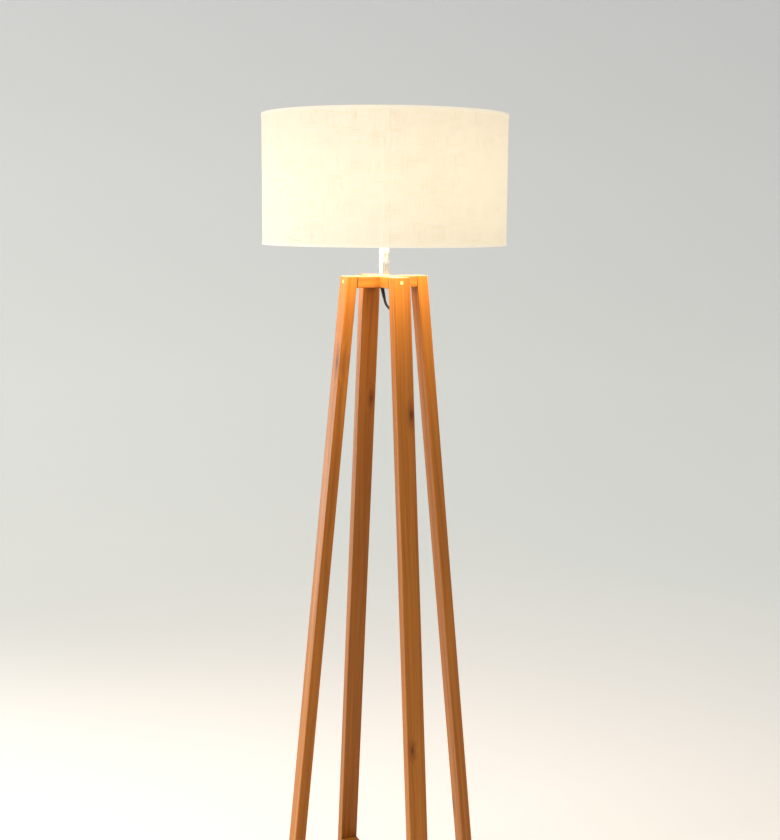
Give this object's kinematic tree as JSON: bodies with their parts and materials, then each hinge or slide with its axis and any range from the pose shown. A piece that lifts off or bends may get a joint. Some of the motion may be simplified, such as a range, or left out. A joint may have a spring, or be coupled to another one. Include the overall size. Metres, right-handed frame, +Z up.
{
  "type": "four-legged floor lamp",
  "caption": "Timber floor lamp: splayed legs joined by a cross of beams at the head and near the floor, nickel stem, drum shade, corded foot switch.",
  "frame": {"origin": "on the floor, on the lamp's axis", "axes": "+Z up the stem; the legs lie over -Y (front), +X (right), +Y (back) and -X (left)"},
  "size_m": [0.4511, 0.4512, 1.575],
  "materials": {
    "timber": "honey-stained hardwood, satin oil",
    "plug_wood": "pale birch plug",
    "dowel_wood": "fluted beech",
    "polished_nickel": "polished nickel plate",
    "zinc_steel": "bright zinc-plated steel",
    "brass": "bright brass",
    "holder_plastic": "moulded white thermoset",
    "ceramic": "glazed porcelain",
    "lamp_shell": "white moulded neck",
    "lamp_dome": "opal diffuser, lit",
    "cap_aluminium": "rolled nickel-plated cap",
    "black_glass": "black glass insulator",
    "led_phosphor": "yellow phosphor",
    "board": "white solder mask on aluminium",
    "linen": "off-white slub linen, lit from inside",
    "liner": "matt white laminate",
    "trim_tape": "white cotton tape",
    "white_wire": "white powder coat",
    "cord_pvc": "black cord sheath",
    "black_plastic": "fine-textured black moulding",
    "grey_plastic": "dark grey moulding",
    "glide_felt": "dark grey glide"
  },
  "bodies": {
    "stand": {"leg_front": "timber", "leg_right": "timber", "leg_back": "timber", "leg_left": "timber", "head_beam_long": "timber", "head_beam_cross": "timber", "foot_beam_long": "timber", "foot_beam_cross": "timber", "head_screws": "zinc_steel", "head_dowels": "dowel_wood", "head_plugs": "plug_wood", "foot_screws": "zinc_steel", "foot_dowels": "dowel_wood", "foot_plugs": "plug_wood", "lap_screw": "zinc_steel", "foot_glides": "glide_felt", "glide_nails": "zinc_steel", "stem_tube": "polished_nickel", "stem_washer": "zinc_steel", "stem_ring_nut": "zinc_steel", "cord_outlet": "black_plastic", "stem_top_plug": "polished_nickel", "threaded_nipple": "brass", "holder_cap": "holder_plastic", "holder_sleeve": "holder_plastic", "holder_insert": "ceramic", "holder_screw_shell": "brass", "holder_contact": "brass", "terminal_screws": "brass", "cord_in_stem": "cord_pvc", "cord_drop": "cord_pvc", "cord_tail": "cord_pvc", "cord_coil": "cord_pvc", "cord_plug_end": "cord_pvc", "coil_tie": "black_plastic", "cord_clips": "black_plastic", "switch_base": "black_plastic", "switch_cover": "black_plastic", "switch_spring": "zinc_steel", "switch_reliefs": "black_plastic", "plug_body": "black_plastic", "plug_pins": "polished_nickel"},
    "shade": {"shade_fabric": "linen", "shade_liner": "liner", "shade_seam": "linen", "shade_top_wire": "white_wire", "shade_bottom_wire": "white_wire", "shade_arms": "white_wire", "shade_fitter": "white_wire", "shade_trim_top": "trim_tape", "shade_trim_bottom": "trim_tape"},
    "ring_nut": {"shade_ring_nut": "holder_plastic"},
    "bulb": {"bulb_dome": "lamp_dome", "bulb_body": "lamp_shell", "bulb_cap": "cap_aluminium", "bulb_insulator": "black_glass", "bulb_tip": "cap_aluminium", "led_board": "board", "led_chips": "led_phosphor"},
    "foot_button": {"switch_button": "grey_plastic"}
  },
  "joints": [
    {"name": "shade_turn", "type": "hinge", "parent": "stand", "child": "shade", "pos_m": [0, 0, 1.3695], "axis": [0, 0, 1], "continuous": true},
    {"name": "ring_nut_turn", "type": "hinge", "parent": "stand", "child": "ring_nut", "pos_m": [0, 0, 1.3765], "axis": [0, 0, 1], "range_deg": [0, 720]},
    {"name": "bulb_turn", "type": "hinge", "parent": "stand", "child": "bulb", "pos_m": [0, 0, 1.39], "axis": [0, 0, 1], "range_deg": [0, 900]},
    {"name": "button_press", "type": "slide", "parent": "stand", "child": "foot_button", "axis": [0, 0, -1], "range_m": [0, 0.0025], "stiffness_N_per_m": 500, "springref_m": -0.004, "deforming": ["switch_spring"]}
  ]
}
